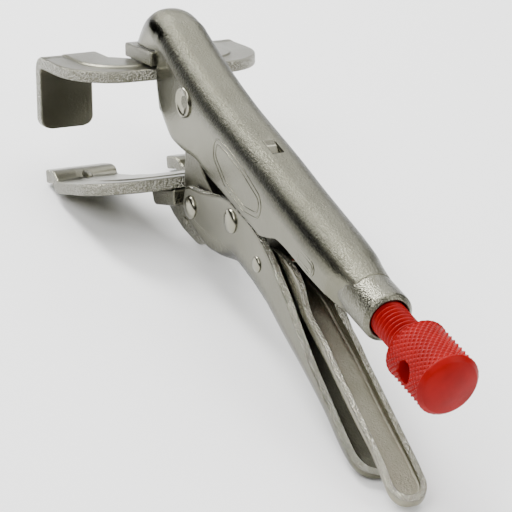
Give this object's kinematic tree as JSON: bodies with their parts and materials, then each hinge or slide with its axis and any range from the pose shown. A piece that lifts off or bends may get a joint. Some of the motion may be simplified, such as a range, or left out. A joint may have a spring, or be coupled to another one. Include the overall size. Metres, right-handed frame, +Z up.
{
  "type": "locking pliers",
  "caption": "Locking pliers with U-shaped fork jaws, pressed-steel handles, toggle link, release lever and a knurled adjusting screw.",
  "frame": {"origin": "bottom centre of the bounding box, on the surface the tool rests on", "axes": "+X forward along the adjusting screw towards the jaws, +Y left, +Z up"},
  "size_m": [0.2036, 0.063, 0.0625],
  "materials": {
    "satin_nickel": "satin nickel plating over pressed sheet and forgings",
    "bright_nickel": "bright nickel plating on rivet heads",
    "spring_steel": "drawn spring wire",
    "red_coating": "satin red coating over a threaded rod and a knurled knob"
  },
  "bodies": {
    "upper_body": {"upper_handle": "satin_nickel", "upper_jaw_block": "satin_nickel", "jaw_throat_web": "satin_nickel", "upper_jaw_fork": "satin_nickel", "jaw_pivot_rivet": "bright_nickel", "tension_spring": "spring_steel"},
    "lower_jaw": {"lower_jaw": "satin_nickel", "lower_jaw_fork": "satin_nickel", "handle_pivot_rivet": "bright_nickel"},
    "lower_handle": {"lower_handle": "satin_nickel", "link_rivet": "bright_nickel", "release_lever_rivet": "bright_nickel"},
    "toggle_link": {"toggle_link": "satin_nickel"},
    "release_lever": {"release_lever": "satin_nickel"},
    "adjusting_screw": {"adjusting_screw": "red_coating"},
    "screw_knob": {"screw_knob": "red_coating"}
  },
  "joints": [
    {"name": "handle_pivot", "type": "hinge", "parent": "lower_jaw", "child": "lower_handle", "pos_m": [0.03224, 0, 0.02002], "axis": [0, -1, 0], "range_deg": [0, 55]},
    {"name": "jaw_pivot", "type": "hinge", "parent": "upper_body", "child": "lower_jaw", "pos_m": [0.04424, 0, 0.04792], "axis": [0, 1, 0], "range_deg": [0, 16.6]},
    {"name": "link_pivot", "type": "hinge", "parent": "lower_handle", "child": "toggle_link", "pos_m": [0.00674, 0, 0.02982], "axis": [0, 1, 0], "range_deg": [0, 66.2]},
    {"name": "release_pivot", "type": "hinge", "parent": "lower_handle", "child": "release_lever", "pos_m": [-0.01146, 0, 0.02642], "axis": [0, 1, 0], "range_deg": [-3, 0]},
    {"name": "knob_spin", "type": "hinge", "parent": "adjusting_screw", "child": "screw_knob", "pos_m": [-0.08276, 0, 0.04302], "axis": [1, 0, 0], "range_deg": [0, 2881]},
    {"name": "screw_slide", "type": "slide", "parent": "upper_body", "child": "adjusting_screw", "axis": [1, 0, 0], "range_m": [-0.012, 0]}
  ],
  "couplings": [
    {"joint": "jaw_pivot", "follows": "handle_pivot", "ratio": 0.3},
    {"joint": "link_pivot", "follows": "handle_pivot", "ratio": 1.201},
    {"joint": "knob_spin", "follows": "screw_slide", "rad_per_m": -4188.8}
  ]
}
